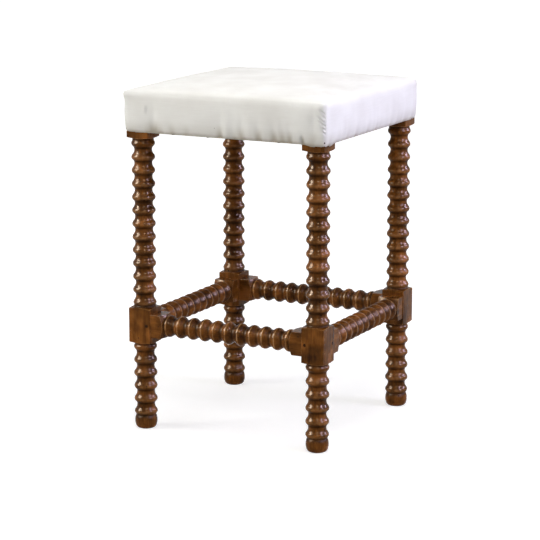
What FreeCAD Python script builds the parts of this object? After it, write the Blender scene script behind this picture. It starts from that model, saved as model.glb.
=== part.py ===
import FreeCAD, Part
import math
import os
import Sketcher

# Bar stool with bobbin-turned legs and stretchers and a stuffed calico seat.
# Millimetres, +Z up, origin on the floor under the middle of the seat, front towards -Y.

V = FreeCAD.Vector
doc = FreeCAD.newDocument("bar_stool")
sheet = doc.addObject("Spreadsheet::Sheet", "Sizes")

sizes = {
    # plan and blanks
    "leg_spacing": 400.0,
    "leg_stock": 50.0,
    "stretcher_depth": 47.0,
    "stretcher_height": 49.0,
    # leg heights above the floor
    "leg_height": 688.0,
    "top_block_bottom": 617.5,
    "mid_block_top": 262.0,
    "mid_block_bottom": 186.0,
    "upper_first_crest": 270.0,
    "upper_collar": 606.0,
    "lower_first_crest": 35.6,
    "lower_collar": 177.0,
    "foot_groove": 28.4,
    "foot_wide_top": 22.5,
    "foot_wide_bottom": 11.0,
    "foot_rim": 3.2,
    # turned outline of the legs
    "bead_pitch": 27.9,
    "crest_radius": 23.8,
    "neck_radius": 18.5,
    "collar_radius": 24.4,
    "root_radius": 22.2,
    "crest_land": 4.2,
    "tuck": 8.9,
    "neck": 5.7,
    "foot_radius": 23.6,
    "foot_groove_radius": 20.6,
    "foot_rim_radius": 20.8,
    "foot_sole_radius": 15.5,
    "clear_radius": 40.0,
    "shoulder_fall": 2.6,
    # turned outline of the stretchers
    "stretcher_axis": 225.0,
    "stretcher_crest": 23.2,
    "stretcher_neck": 17.7,
    "stretcher_land": 5.2,
    "stretcher_root": 21.4,
    "stretcher_square": 25.0,
    "stretcher_fall": 4.5,
    # mortise and tenon joints
    "tenon": 14.0,
    "tenon_height": 36.0,
    "mitre_gap": 0.5,
    "fit": 0.1,
    "peg_radius": 2.8,
    "peg_edge": 8.0,
    "peg_length": 36.0,
    # seat frame
    "rail_height": 56.0,
    "rail_thickness": 22.0,
    "rail_tenon": 9.0,
    "rail_tenon_length": 20.0,
    "rail_peg_length": 20.0,
    "brace_height": 36.0,
    "brace_near": 70.0,
    "brace_far": 104.0,
    "screw_place": 87.0,
    "screw_radius": 2.0,
    "screw_bite": 14.0,
    "screw_head_radius": 4.0,
    "screw_head": 3.0,
    "screw_sink": 8.0,
    # webbing and hessian
    "strap_width": 50.0,
    "strap_pitch": 80.0,
    "strap_thickness": 1.5,
    "strap_end": 4.0,
    "hessian_half": 218.0,
    "hessian_thickness": 0.8,
    # stuffing and cover
    "pad_half": 225.0,
    "pad_corner": 15.0,
    "pad_edge": 708.0,
    "pad_shoulder": 716.5,
    "pad_crown": 730.8,
    "wadding": 2.4,
    "calico": 1.2,
    "soft_gap": 0.3,
    "cover_bottom": 630.5,
    "hem_width": 19.0,
    # tacks
    "tack_radius": 4.0,
    "tack_head": 0.9,
    "tack_pitch": 80.0,
}

for row, name in enumerate(sizes, start=1):
    sheet.set("A%d" % row, name)
    sheet.set("B%d" % row, "%g" % sizes[name])
    sheet.setAlias("B%d" % row, name)
doc.recompute()

top_beads = 12
foot_beads = 5
stretcher_beads = 11
straps_each_way = 4


def number(terms):
    return sum(count * sizes[name] for name, count in terms.items())


def formula(terms):
    return " + ".join("%.6g * Sizes.%s" % (count, name) for name, count in terms.items())


def bind(thing, field, **terms):
    thing.setExpression(field, formula(terms))


def new_body(name):
    body = doc.addObject("PartDesign::Body", name)
    body.Label = name
    return body


def new_sketch(body, name, role, **height):
    # a sketch on one of the body's own planes, lifted along that plane's normal
    sketch = body.newObject("Sketcher::SketchObject", name)
    plane = [item for item in body.Origin.OriginFeatures if item.Role == role][0]
    sketch.AttachmentSupport = [(plane, "")]
    sketch.MapMode = "FlatFace"
    if height:
        bind(sketch, "AttachmentOffset.Base.z", **height)
    return sketch


def pin_point(sketch, line, terms_x, terms_y):
    # ties the start of one line to its driving dimensions
    for kind, terms, axis in (("DistanceX", terms_x, -2), ("DistanceY", terms_y, -1)):
        if abs(number(terms)) < 1e-9:
            sketch.addConstraint(Sketcher.Constraint("PointOnObject", line, 1, axis))
        else:
            place = sketch.addConstraint(Sketcher.Constraint(kind, -1, 1, line, 1, number(terms)))
            sketch.setExpression("Constraints[%d]" % place, formula(terms))


def draw_outline(sketch, corners):
    # closed outline of straight lines; each corner is a pair of sums of driving dimensions
    spots = [V(number(x), number(y), 0) for x, y in corners]
    first = sketch.GeometryCount
    count = len(spots)
    for index in range(count):
        sketch.addGeometry(Part.LineSegment(spots[index], spots[(index + 1) % count]))
    for index in range(count):
        following = first + (index + 1) % count
        sketch.addConstraint(Sketcher.Constraint("Coincident", first + index, 2, following, 1))
    for index, (x, y) in enumerate(corners):
        pin_point(sketch, first + index, x, y)


def draw_box(sketch, left, right, low, high):
    draw_outline(sketch, [(left, low), (right, low), (right, high), (left, high)])


def draw_circle(sketch, x, y, radius):
    circle = sketch.addGeometry(Part.Circle(V(number(x), number(y), 0), V(0, 0, 1), sizes[radius]))
    place = sketch.addConstraint(Sketcher.Constraint("Radius", circle, sizes[radius]))
    sketch.setExpression("Constraints[%d]" % place, "Sizes." + radius)
    for kind, terms, axis in (("DistanceX", x, -2), ("DistanceY", y, -1)):
        if abs(number(terms)) < 1e-9:
            sketch.addConstraint(Sketcher.Constraint("PointOnObject", circle, 3, axis))
        else:
            place = sketch.addConstraint(Sketcher.Constraint(kind, -1, 1, circle, 3, number(terms)))
            sketch.setExpression("Constraints[%d]" % place, formula(terms))


def draw_rounding(sketch, corner, start, radius):
    # the waste outside a rounded corner: two lines along the faces and a quarter circle
    outer = number(corner)
    inner = number(start)
    ring = Part.Circle(V(inner, inner, 0), V(0, 0, 1), sizes[radius])
    sketch.addGeometry(Part.LineSegment(V(inner, outer, 0), V(outer, outer, 0)))
    sketch.addGeometry(Part.LineSegment(V(outer, outer, 0), V(outer, inner, 0)))
    sketch.addGeometry(Part.ArcOfCircle(ring, math.pi, 1.5 * math.pi))
    for index in range(3):
        sketch.addConstraint(Sketcher.Constraint("Coincident", index, 2, (index + 1) % 3, 1))
    pin_point(sketch, 0, start, corner)
    pin_point(sketch, 1, corner, corner)
    pin_point(sketch, 2, corner, start)
    place = sketch.addConstraint(Sketcher.Constraint("Radius", 2, sizes[radius]))
    sketch.setExpression("Constraints[%d]" % place, "Sizes." + radius)


def pad(body, sketch, **length):
    feature = body.newObject("PartDesign::Pad", sketch.Name + "_pad")
    feature.Profile = sketch
    bind(feature, "Length", **length)
    sketch.Visibility = False
    return feature


def even_pad(body, sketch, **length):
    feature = pad(body, sketch, **length)
    feature.Midplane = True
    return feature


def cut(body, kind, sketch, before):
    # makes a cutting feature and returns it; the volume test comes after the recompute
    feature = body.newObject(kind, sketch.Name + "_cut")
    feature.Profile = sketch
    sketch.Visibility = False
    cuts.append((feature, before))
    return feature


def even_pocket(body, sketch, **length):
    feature = cut(body, "PartDesign::Pocket", sketch, body.Tip)
    bind(feature, "Length", **length)
    feature.Midplane = True
    return feature


def turned_cut(body, sketch, axis):
    feature = cut(body, "PartDesign::Groove", sketch, body.Tip)
    feature.ReferenceAxis = (sketch, [axis])
    feature.Angle = 360.0
    return feature


def stand(thing, quarter, place):
    # seats a piece made for the front or the front left corner on another side of the stool
    turn = FreeCAD.Rotation(V(0, 0, 1), 90.0 * quarter)
    thing.Placement = FreeCAD.Placement(turn.multVec(place), turn)


cuts = []
half_stock = {"leg_stock": 0.5}
minus_half_stock = {"leg_stock": -0.5}


# legs

def leg_bead(first_crest, index):
    # from one crest down: its narrow land, the quick tuck, the neck, then the flare to the next crest
    crest = {first_crest: 1.0, "bead_pitch": float(index)}
    neck_top = dict(crest, crest_land=-0.4, tuck=-1.0)
    neck_bottom = dict(neck_top, neck=-1.0)
    return [
        ({"crest_radius": 1.0}, dict(crest, crest_land=0.6)),
        ({"crest_radius": 1.0}, dict(crest, crest_land=-0.4)),
        ({"neck_radius": 1.0}, neck_top),
        ({"neck_radius": 1.0}, neck_bottom),
    ]


def leg_upper_outline():
    corners = [
        ({"clear_radius": 1.0}, {"top_block_bottom": 1.0, "shoulder_fall": 1.0}),
        ({"root_radius": 1.0}, {"top_block_bottom": 1.0}),
        ({"collar_radius": 1.0}, {"upper_collar": 1.0}),
        ({"neck_radius": 1.0}, {"upper_collar": 1.0, "tuck": -1.0}),
        ({"neck_radius": 1.0}, {"upper_collar": 1.0, "tuck": -1.0, "neck": -1.0}),
    ]
    for index in reversed(range(1, top_beads)):
        corners += leg_bead("upper_first_crest", index)
    corners += [
        ({"crest_radius": 1.0}, {"upper_first_crest": 1.0, "crest_land": 0.6}),
        ({"crest_radius": 1.0}, {"upper_first_crest": 1.0, "crest_land": -0.4}),
        ({"root_radius": 1.0}, {"mid_block_top": 1.0}),
        ({"clear_radius": 1.0}, {"mid_block_top": 1.0, "shoulder_fall": -1.0}),
    ]
    return corners


def leg_lower_outline():
    corners = [
        ({"clear_radius": 1.0}, {"mid_block_bottom": 1.0, "shoulder_fall": 1.0}),
        ({"root_radius": 1.0}, {"mid_block_bottom": 1.0}),
        ({"collar_radius": 1.0}, {"lower_collar": 1.0}),
        ({"neck_radius": 1.0}, {"lower_collar": 1.0, "tuck": -1.0}),
        ({"neck_radius": 1.0}, {"lower_collar": 1.0, "tuck": -1.0, "neck": -1.0}),
    ]
    for index in reversed(range(1, foot_beads)):
        corners += leg_bead("lower_first_crest", index)
    corners += [
        ({"crest_radius": 1.0}, {"lower_first_crest": 1.0, "crest_land": 0.6}),
        ({"crest_radius": 1.0}, {"lower_first_crest": 1.0, "crest_land": -0.4}),
        ({"foot_groove_radius": 1.0}, {"foot_groove": 1.0}),
        ({"foot_radius": 1.0}, {"foot_wide_top": 1.0}),
        ({"foot_radius": 1.0}, {"foot_wide_bottom": 1.0}),
        ({"foot_rim_radius": 1.0}, {"foot_rim": 1.0}),
        ({"foot_sole_radius": 1.0}, {"leg_height": 0.0}),
        ({"clear_radius": 1.0}, {"leg_height": 0.0}),
    ]
    return corners


def make_leg(name, quarter):
    # the inner faces look along +X and +Y, as on the front left leg
    body = new_body(name)
    blank = new_sketch(body, name + "_blank", "XY_Plane")
    draw_box(blank, minus_half_stock, half_stock, minus_half_stock, half_stock)
    pad(body, blank, leg_height=1.0)

    upper = new_sketch(body, name + "_upper", "XZ_Plane")
    draw_outline(upper, leg_upper_outline())
    turned_cut(body, upper, "V_Axis")
    lower = new_sketch(body, name + "_lower", "XZ_Plane")
    draw_outline(lower, leg_lower_outline())
    turned_cut(body, lower, "V_Axis")

    # the two stretcher mortises meet in the middle of the block
    near = {"tenon": -0.5, "fit": -1.0}
    far = {"tenon": 0.5, "fit": 1.0}
    mortise = new_sketch(body, name + "_mortise", "XY_Plane", stretcher_axis=1.0)
    draw_outline(mortise, [
        (near, near), (half_stock, near), (half_stock, far), (far, far), (far, half_stock), (near, half_stock),
    ])
    even_pocket(body, mortise, tenon_height=1.0, fit=2.0)

    # one mortise for each seat rail, near the outer faces
    outer = {"leg_stock": -0.5, "rail_thickness": 0.5, "rail_tenon": -0.5, "fit": -1.0}
    inner = {"leg_stock": -0.5, "rail_thickness": 0.5, "rail_tenon": 0.5, "fit": 1.0}
    bottom = {"leg_stock": 0.5, "rail_tenon_length": -1.0, "fit": -5.0}
    rails = new_sketch(body, name + "_rails", "XY_Plane", leg_height=1.0, rail_height=-0.5)
    draw_box(rails, bottom, half_stock, outer, inner)
    draw_box(rails, outer, inner, bottom, half_stock)
    even_pocket(body, rails, tenon_height=1.0, fit=2.0)

    # the outer corner is rounded where the cover is drawn over it
    rounding = new_sketch(body, name + "_rounding", "XY_Plane", leg_height=0.5, cover_bottom=0.5)
    draw_rounding(rounding, minus_half_stock, {"leg_stock": -0.5, "pad_corner": 1.0}, "pad_corner")
    even_pocket(body, rounding, leg_height=1.0, cover_bottom=-1.0)

    # peg holes from the two outer faces
    peg = {"leg_stock": 0.5, "peg_edge": -1.0}
    peg_heights = ({"stretcher_axis": 1.0}, {"leg_height": 1.0, "rail_height": -0.5})
    for side, role, sign in (("front", "XZ_Plane", 1.0), ("side", "YZ_Plane", -1.0)):
        for deep, height in zip(("peg_length", "rail_peg_length"), peg_heights):
            # the plane lies half the peg's length in from the outer face
            hole = new_sketch(body, "%s_%s_%s" % (name, side, deep), role,
                              leg_stock=0.5 * sign, **{deep: -0.5 * sign})
            draw_circle(hole, peg, height, "peg_radius")
            even_pocket(body, hole, **{deep: 1.0})
    stand(body, quarter, V(-sizes["leg_spacing"] / 2, -sizes["leg_spacing"] / 2, 0))
    return body


# stretchers

def stretcher_outline():
    # crests at one pitch along X, mirrored about the middle of the stretcher
    end = {"leg_spacing": 0.5, "leg_stock": -0.5, "stretcher_square": -1.0}
    minus_end = {name: -count for name, count in end.items()}
    corners = [
        (dict(minus_end, stretcher_fall=-1.0), {"clear_radius": 1.0}),
        (minus_end, {"stretcher_root": 1.0}),
    ]
    middle = (stretcher_beads - 1) / 2
    for index in range(stretcher_beads):
        crest = index - middle
        for edge in (-0.5, 0.5):
            corners.append(({"bead_pitch": crest, "stretcher_land": edge}, {"stretcher_crest": 1.0}))
        if index < stretcher_beads - 1:
            for edge in (-0.5, 0.5):
                corners.append(({"bead_pitch": crest + 0.5, "stretcher_land": edge}, {"stretcher_neck": 1.0}))
    corners += [
        (end, {"stretcher_root": 1.0}),
        (dict(end, stretcher_fall=1.0), {"clear_radius": 1.0}),
    ]
    return corners


def make_stretcher(name, quarter):
    body = new_body(name)
    blank = new_sketch(body, name + "_blank", "YZ_Plane")
    draw_box(blank, {"stretcher_depth": -0.5}, {"stretcher_depth": 0.5},
             {"stretcher_height": -0.5}, {"stretcher_height": 0.5})
    even_pad(body, blank, leg_spacing=1.0, leg_stock=-1.0)
    turning = new_sketch(body, name + "_turning", "XY_Plane")
    draw_outline(turning, stretcher_outline())
    turned_cut(body, turning, "H_Axis")

    # mitred tenons, longer on the outer cheek, so that neighbours meet inside the leg
    tenons = new_sketch(body, name + "_tenons", "XY_Plane")
    for side in (-1.0, 1.0):
        shoulder = {"leg_spacing": 0.5 * side, "leg_stock": -0.5 * side}
        short = {"leg_spacing": 0.5 * side, "tenon": -0.5 * side, "mitre_gap": -side}
        long = {"leg_spacing": 0.5 * side, "tenon": 0.5 * side, "mitre_gap": -side}
        draw_outline(tenons, [
            (shoulder, {"tenon": -0.5}), (long, {"tenon": -0.5}), (short, {"tenon": 0.5}), (shoulder, {"tenon": 0.5}),
        ])
    even_pad(body, tenons, tenon_height=1.0)
    pegs = new_sketch(body, name + "_pegs", "XZ_Plane")
    for side in (-1.0, 1.0):
        place = {"leg_spacing": 0.5 * side, "leg_stock": -0.5 * side, "peg_edge": side}
        draw_circle(pegs, place, {"peg_radius": 0.0}, "peg_radius")
    even_pocket(body, pegs, tenon=2.0)
    stand(body, quarter, V(0, -sizes["leg_spacing"] / 2, sizes["stretcher_axis"]))
    return body


# seat frame

def make_rail(name, quarter):
    # the outer face looks along -Y and is flush with the legs
    body = new_body(name)
    half_height = {"rail_height": 0.5}
    blank = new_sketch(body, name + "_blank", "YZ_Plane")
    draw_box(blank, {"rail_thickness": -0.5}, {"rail_thickness": 0.5}, {"rail_height": -0.5}, half_height)
    even_pad(body, blank, leg_spacing=1.0, leg_stock=-1.0)
    tongue = new_sketch(body, name + "_tongue", "YZ_Plane")
    draw_box(tongue, {"rail_tenon": -0.5}, {"rail_tenon": 0.5}, {"tenon_height": -0.5}, {"tenon_height": 0.5})
    even_pad(body, tongue, leg_spacing=1.0, leg_stock=-1.0, rail_tenon_length=2.0)
    holes = new_sketch(body, name + "_holes", "XZ_Plane")
    for side in (-1.0, 1.0):
        place = {"leg_spacing": 0.5 * side, "leg_stock": -0.5 * side, "peg_edge": side}
        draw_circle(holes, place, {"peg_radius": 0.0}, "peg_radius")
    even_pocket(body, holes, rail_tenon=2.0)
    # screw holes for the corner braces, from the inner face
    pilots = new_sketch(body, name + "_pilots", "XZ_Plane", rail_thickness=-0.5)
    for side in (-1.0, 1.0):
        place = {"leg_spacing": 0.5 * side, "screw_place": -side}
        draw_circle(pilots, place, {"peg_radius": 0.0}, "screw_radius")
    even_pocket(body, pilots, screw_bite=2.0)
    reach = sizes["leg_spacing"] / 2 + (sizes["leg_stock"] - sizes["rail_thickness"]) / 2
    stand(body, quarter, V(0, -reach, sizes["leg_height"] - sizes["rail_height"] / 2))
    return body


def make_brace(name, quarter):
    # a bar across the corner behind the leg, seated on the inner faces of two rails
    body = new_body(name)
    rail_face = {"leg_stock": -0.5, "rail_thickness": 1.0}
    near = {"brace_near": 1.0}
    far = {"brace_far": 1.0}
    plan = new_sketch(body, name + "_plan", "XY_Plane")
    draw_outline(plan, [(near, rail_face), (far, rail_face), (rail_face, far), (rail_face, near)])
    even_pad(body, plan, brace_height=1.0)
    for role, sign in (("XZ_Plane", -1.0), ("YZ_Plane", 1.0)):
        shank = new_sketch(body, "%s_%s_shank" % (name, role), role)
        draw_circle(shank, {"screw_place": 1.0}, {"screw_radius": 0.0}, "screw_radius")
        even_pocket(body, shank, brace_far=2.0)
        # the head sinks to its own depth from the rail
        sink = new_sketch(body, "%s_%s_sink" % (name, role), role,
                          leg_stock=-0.5 * sign, rail_thickness=sign, screw_sink=sign, brace_far=0.5 * sign)
        draw_circle(sink, {"screw_place": 1.0}, {"screw_radius": 0.0}, "screw_head_radius")
        even_pocket(body, sink, brace_far=1.0)
    corner = -sizes["leg_spacing"] / 2
    stand(body, quarter, V(corner, corner, sizes["leg_height"] - sizes["rail_height"] / 2))
    return body


def cylinder(name, radius, length, place, direction):
    piece = doc.addObject("Part::Cylinder", name)
    bind(piece, "Radius", **{radius: 1.0})
    bind(piece, "Height", **length)
    piece.Placement = FreeCAD.Placement(place, FreeCAD.Rotation(V(0, 0, 1), direction))
    return piece


def group(name, pieces):
    bundle = doc.addObject("Part::Compound", name)
    bundle.Label = name
    bundle.Links = pieces
    return bundle


def around(point):
    # the same point on each side of the stool, with its quarter turn
    turns = [FreeCAD.Rotation(V(0, 0, 1), 90.0 * quarter) for quarter in range(4)]
    return [(turn, turn.multVec(point)) for turn in turns]


def make_pegs(name, length, height):
    # two pegs on each face, driven in from the outside
    face = -(sizes["leg_spacing"] + sizes["leg_stock"]) / 2
    reach = (sizes["leg_spacing"] - sizes["leg_stock"]) / 2 + sizes["peg_edge"]
    pieces = []
    for side in (-1, 1):
        for turn, place in around(V(side * reach, face, height)):
            inward = turn.multVec(V(0, 1, 0))
            pieces.append(cylinder("%s_%d" % (name, len(pieces) + 1), "peg_radius", {length: 1.0}, place, inward))
    return group(name, pieces)


def make_screws(name):
    # shank into the rail, head sunk in the brace
    face = -(sizes["leg_spacing"] + sizes["leg_stock"]) / 2 + sizes["rail_thickness"]
    reach = sizes["leg_spacing"] / 2 - sizes["screw_place"]
    height = sizes["leg_height"] - sizes["rail_height"] / 2
    pieces = []
    for side in (-1, 1):
        for turn, place in around(V(side * reach, face + sizes["screw_sink"], height)):
            tag = "%s_%d" % (name, len(pieces) + 1)
            outward = turn.multVec(V(0, -1, 0))
            shank = cylinder(tag + "_shank", "screw_radius", {"screw_sink": 1.0, "screw_bite": 1.0}, place, outward)
            head = cylinder(tag + "_head", "screw_head_radius", {"screw_head": 1.0}, place, outward * -1)
            screw = doc.addObject("Part::Fuse", tag)
            screw.Base = shank
            screw.Tool = head
            pieces.append(screw)
    return group(name, pieces)


# webbing, hessian, stuffing and cover

def strap_place(index):
    return (index - (straps_each_way - 1) / 2) * sizes["strap_pitch"]


def make_flat_strap(name, index):
    # front to back, flat on the front and back rails
    body = new_body(name)
    plan = new_sketch(body, name + "_plan", "XY_Plane")
    reach = {"leg_spacing": 0.5, "leg_stock": 0.5, "strap_end": -1.0}
    back = {term: -count for term, count in reach.items()}
    draw_box(plan, {"strap_width": -0.5}, {"strap_width": 0.5}, back, reach)
    pad(body, plan, strap_thickness=1.0)
    stand(body, 0, V(strap_place(index), 0, sizes["leg_height"]))
    return body


def make_woven_strap(name, index):
    # side to side, over one flat strap and under the next
    body = new_body(name)
    reach = {"leg_spacing": 0.5, "leg_stock": 0.5, "strap_end": -1.0}
    rise = [(dict({term: -count for term, count in reach.items()}), 0.0),
            ({"leg_spacing": -0.5, "leg_stock": 0.5}, 0.0)]
    for crossing in range(straps_each_way):
        level = 1.1 if (crossing + index) % 2 else -1.1
        centre = crossing - (straps_each_way - 1) / 2
        rise.append(({"strap_pitch": centre, "strap_width": -0.54}, level))
        rise.append(({"strap_pitch": centre, "strap_width": 0.54}, level))
    rise += [({"leg_spacing": 0.5, "leg_stock": -0.5}, 0.0), (reach, 0.0)]
    under = [(x, {"strap_thickness": level}) for x, level in rise]
    over = [(x, {"strap_thickness": level + 1.0}) for x, level in reversed(rise)]
    side = new_sketch(body, name + "_side", "XZ_Plane")
    draw_outline(side, under + over)
    even_pad(body, side, strap_width=1.0)
    stand(body, 0, V(0, strap_place(index), sizes["leg_height"]))
    return body


def make_hessian(name):
    body = new_body(name)
    plan = new_sketch(body, name + "_plan", "XY_Plane")
    half = {"hessian_half": 1.0}
    back = {"hessian_half": -1.0}
    draw_box(plan, back, half, back, half)
    pad(body, plan, hessian_thickness=1.0)
    stand(body, 0, V(0, 0, hessian_bottom))
    return body


def rounded_square(body, name, half, corner, height):
    # a square with round corners, level at one height
    sketch = body.newObject("Sketcher::SketchObject", name)
    plane = [item for item in body.Origin.OriginFeatures if item.Role == "XY_Plane"][0]
    sketch.AttachmentSupport = [(plane, "")]
    sketch.MapMode = "FlatFace"
    sketch.AttachmentOffset = FreeCAD.Placement(V(0, 0, height), FreeCAD.Rotation())
    flat = half - corner
    for quarter in range(4):
        turn = FreeCAD.Rotation(V(0, 0, 1), 90.0 * quarter)
        centre = turn.multVec(V(flat, flat, 0))
        start = 90.0 * quarter
        ring = Part.Circle(centre, V(0, 0, 1), corner)
        sketch.addGeometry(Part.ArcOfCircle(ring, math.radians(start), math.radians(start + 90.0)))
        sketch.addGeometry(Part.LineSegment(turn.multVec(V(flat, half, 0)), turn.multVec(V(-flat, half, 0))))
    sketch.Visibility = False
    return sketch


def crown_sections(grow):
    # half width, corner radius and height of the crown, from the seat edge to the middle
    edge = sizes["pad_edge"]
    shoulder = sizes["pad_shoulder"]
    crown = sizes["pad_crown"]
    half = sizes["pad_half"]
    corner = sizes["pad_corner"]
    rise = crown - shoulder
    return [
        (half + grow, corner + grow, edge),
        (half - 1.5 + 0.8 * grow, corner + grow, (edge + shoulder) / 2 + 1.0 + 0.6 * grow),
        (half - 6.5 + 0.3 * grow, corner + 2.0 + grow, shoulder + grow),
        (half * 0.86, corner + 10.0 + grow, shoulder + rise * 0.40 + grow),
        (half * 0.60, corner + 24.0 + grow, shoulder + rise * 0.76 + grow),
        (half * 0.28, corner + 24.0 + grow, crown + grow),
    ]


def crowned(body, name, grow, bottom, subtract):
    # straight sides from the bottom to the seat edge, then the crown
    sections = crown_sections(grow)
    half, corner, edge = sections[0]
    base = rounded_square(body, name + "_base", half, corner, bottom)
    if subtract:
        side = cut(body, "PartDesign::Pocket", base, body.Tip)
        side.Reversed = True
    else:
        side = body.newObject("PartDesign::Pad", name + "_side")
        side.Profile = base
    side.Length = edge - bottom
    kind = "PartDesign::SubtractiveLoft" if subtract else "PartDesign::AdditiveLoft"
    rings = []
    for index, (wide, round_corner, height) in enumerate(sections):
        rings.append(rounded_square(body, "%s_ring_%d" % (name, index), wide, round_corner, height))
    dome = body.newObject(kind, name + "_dome")
    dome.Profile = rings[0]
    dome.Sections = rings[1:]
    dome.Ruled = True
    return body


def make_pad(name):
    body = new_body(name)
    return crowned(body, name, 0.0, pad_bottom, False)


def make_wrap(name, inside, outside, bottom):
    # a skin between two crowned forms, open underneath
    body = new_body(name)
    crowned(body, name + "_outer", outside, bottom, False)
    crowned(body, name + "_inner", inside, bottom, True)
    return body


def make_cover(name, inside, outside):
    # the cover's lower edge is turned in under each rail, between the legs
    body = make_wrap(name, inside, outside, sizes["cover_bottom"])
    hem = new_sketch(body, name + "_hem", "XY_Plane", cover_bottom=1.0)
    skin = sizes["pad_half"] + (inside + outside) / 2 - (sizes["leg_spacing"] + sizes["leg_stock"]) / 2
    length = {"leg_spacing": 0.5, "leg_stock": -0.5, "soft_gap": -1.0}
    minus_length = {term: -count for term, count in length.items()}
    for side in (-1.0, 1.0):
        outer = {"leg_spacing": 0.5 * side, "leg_stock": 0.5 * side, "soft_gap": side * skin / sizes["soft_gap"]}
        inner = {"leg_spacing": 0.5 * side, "leg_stock": 0.5 * side, "hem_width": -side}
        low, high = (inner, outer) if side > 0 else (outer, inner)
        draw_box(hem, minus_length, length, low, high)
        draw_box(hem, low, high, minus_length, length)
    pad(body, hem, calico=1.0)
    return body


def make_tacks(name, spots):
    # flat heads; each spot is a place and the way the head looks
    pieces = []
    for place, outward in spots:
        piece = cylinder("%s_%d" % (name, len(pieces) + 1), "tack_radius", {"tack_head": 1.0}, place, outward)
        pieces.append(piece)
    return group(name, pieces)


def hem_spots():
    # a row of heads under each rail
    reach = (sizes["leg_spacing"] + sizes["leg_stock"] - sizes["rail_thickness"]) / 2
    spots = []
    for step in (-1.5, -0.5, 0.5, 1.5):
        for turn, place in around(V(step * sizes["tack_pitch"], -reach, sizes["cover_bottom"])):
            spots.append((place, V(0, 0, -1)))
    return spots


def strap_spots():
    # one head on each strap end, on top of the rails
    reach = (sizes["leg_spacing"] + sizes["leg_stock"] - sizes["rail_thickness"]) / 2
    top = sizes["leg_height"] + sizes["strap_thickness"]
    spots = []
    for index in range(straps_each_way):
        for turn, place in around(V(strap_place(index), -reach, top)):
            spots.append((place, V(0, 0, 1)))
    return spots


def seam_spots():
    # one small head near the lower end of each corner seam
    face = sizes["pad_half"] + cover_outside
    across = sizes["pad_half"] - sizes["pad_corner"]
    height = sizes["cover_bottom"] + 2 * sizes["tack_radius"]
    return [(place, turn.multVec(V(1, 0, 0))) for turn, place in around(V(face, -across, height))]


hessian_bottom = sizes["leg_height"] + 2.1 * sizes["strap_thickness"] + sizes["soft_gap"]
pad_bottom = hessian_bottom + sizes["hessian_thickness"] + sizes["soft_gap"]
wadding_inside = sizes["soft_gap"]
wadding_outside = wadding_inside + sizes["wadding"]
cover_inside = wadding_outside + sizes["soft_gap"]
cover_outside = cover_inside + sizes["calico"]
wadding_bottom = sizes["cover_bottom"] + sizes["calico"] + sizes["soft_gap"]

corners = ("front_left", "front_right", "back_right", "back_left")
sides = ("front", "right", "back", "left")
pieces = []
for quarter, corner in enumerate(corners):
    pieces.append(make_leg("leg_" + corner, quarter))
for quarter, side in enumerate(sides):
    pieces.append(make_stretcher("stretcher_" + side, quarter))
for quarter, side in enumerate(sides):
    pieces.append(make_rail("seat_rail_" + side, quarter))
for quarter, corner in enumerate(corners):
    pieces.append(make_brace("corner_brace_" + corner, quarter))
rail_axis = sizes["leg_height"] - sizes["rail_height"] / 2
pieces.append(make_pegs("stretcher_pegs", "peg_length", sizes["stretcher_axis"]))
pieces.append(make_pegs("rail_pegs", "rail_peg_length", rail_axis))
pieces.append(make_screws("brace_screws"))
for index in range(straps_each_way):
    pieces.append(make_flat_strap("webbing_long_%d" % (index + 1), index))
for index in range(straps_each_way):
    pieces.append(make_woven_strap("webbing_cross_%d" % (index + 1), index))
pieces.append(make_tacks("webbing_tacks", strap_spots()))
pieces.append(make_hessian("hessian"))
pieces.append(make_pad("seat_pad"))
pieces.append(make_wrap("wadding", wadding_inside, wadding_outside, wadding_bottom))
pieces.append(make_cover("calico_cover", cover_inside, cover_outside))
pieces.append(make_tacks("cover_tacks", hem_spots()))
pieces.append(make_tacks("seam_tacks", seam_spots()))

doc.recompute()

for thing in doc.Objects:
    bad = [state for state in thing.State if state in ("Invalid", "Error")]
    if bad:
        raise RuntimeError("%s is %s" % (thing.Name, bad))
for feature, before in cuts:
    if feature.Shape.Volume > before.Shape.Volume - 1.0:
        raise RuntimeError("%s removed nothing" % feature.Name)
os.makedirs("parts", exist_ok=True)
for piece in pieces:
    if piece.Shape.isNull() or not piece.Shape.isValid():
        raise RuntimeError("%s has no sound shape" % piece.Name)
    piece.Shape.exportStep("parts/%s.step" % piece.Name)
    box = piece.Shape.BoundBox
    print(piece.Name, len(piece.Shape.Solids), "solids", round(piece.Shape.Volume), "mm3",
          "z %.1f to %.1f" % (box.ZMin, box.ZMax))
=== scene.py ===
import math
import random
import bmesh
import bpy
from mathutils import Matrix, Vector, noise
from mathutils.bvhtree import BVHTree


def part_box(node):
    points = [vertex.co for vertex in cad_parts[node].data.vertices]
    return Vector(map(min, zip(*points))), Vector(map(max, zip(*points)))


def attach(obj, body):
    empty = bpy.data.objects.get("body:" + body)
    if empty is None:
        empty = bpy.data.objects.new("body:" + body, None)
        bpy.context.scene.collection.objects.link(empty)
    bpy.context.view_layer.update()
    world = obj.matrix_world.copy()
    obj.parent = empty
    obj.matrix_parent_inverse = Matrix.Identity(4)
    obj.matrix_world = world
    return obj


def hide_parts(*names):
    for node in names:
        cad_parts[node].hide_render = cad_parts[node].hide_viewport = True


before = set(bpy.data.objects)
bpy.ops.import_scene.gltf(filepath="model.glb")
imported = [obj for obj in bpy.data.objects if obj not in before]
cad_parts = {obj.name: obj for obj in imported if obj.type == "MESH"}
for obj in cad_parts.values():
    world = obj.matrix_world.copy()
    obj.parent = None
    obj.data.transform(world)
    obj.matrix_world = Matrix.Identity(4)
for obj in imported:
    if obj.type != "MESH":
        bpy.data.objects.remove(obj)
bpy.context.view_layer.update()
scene = bpy.context.scene
scene.view_settings.view_transform = "Standard"
mm = 0.001
sides = ("front", "right", "back", "left")
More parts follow.
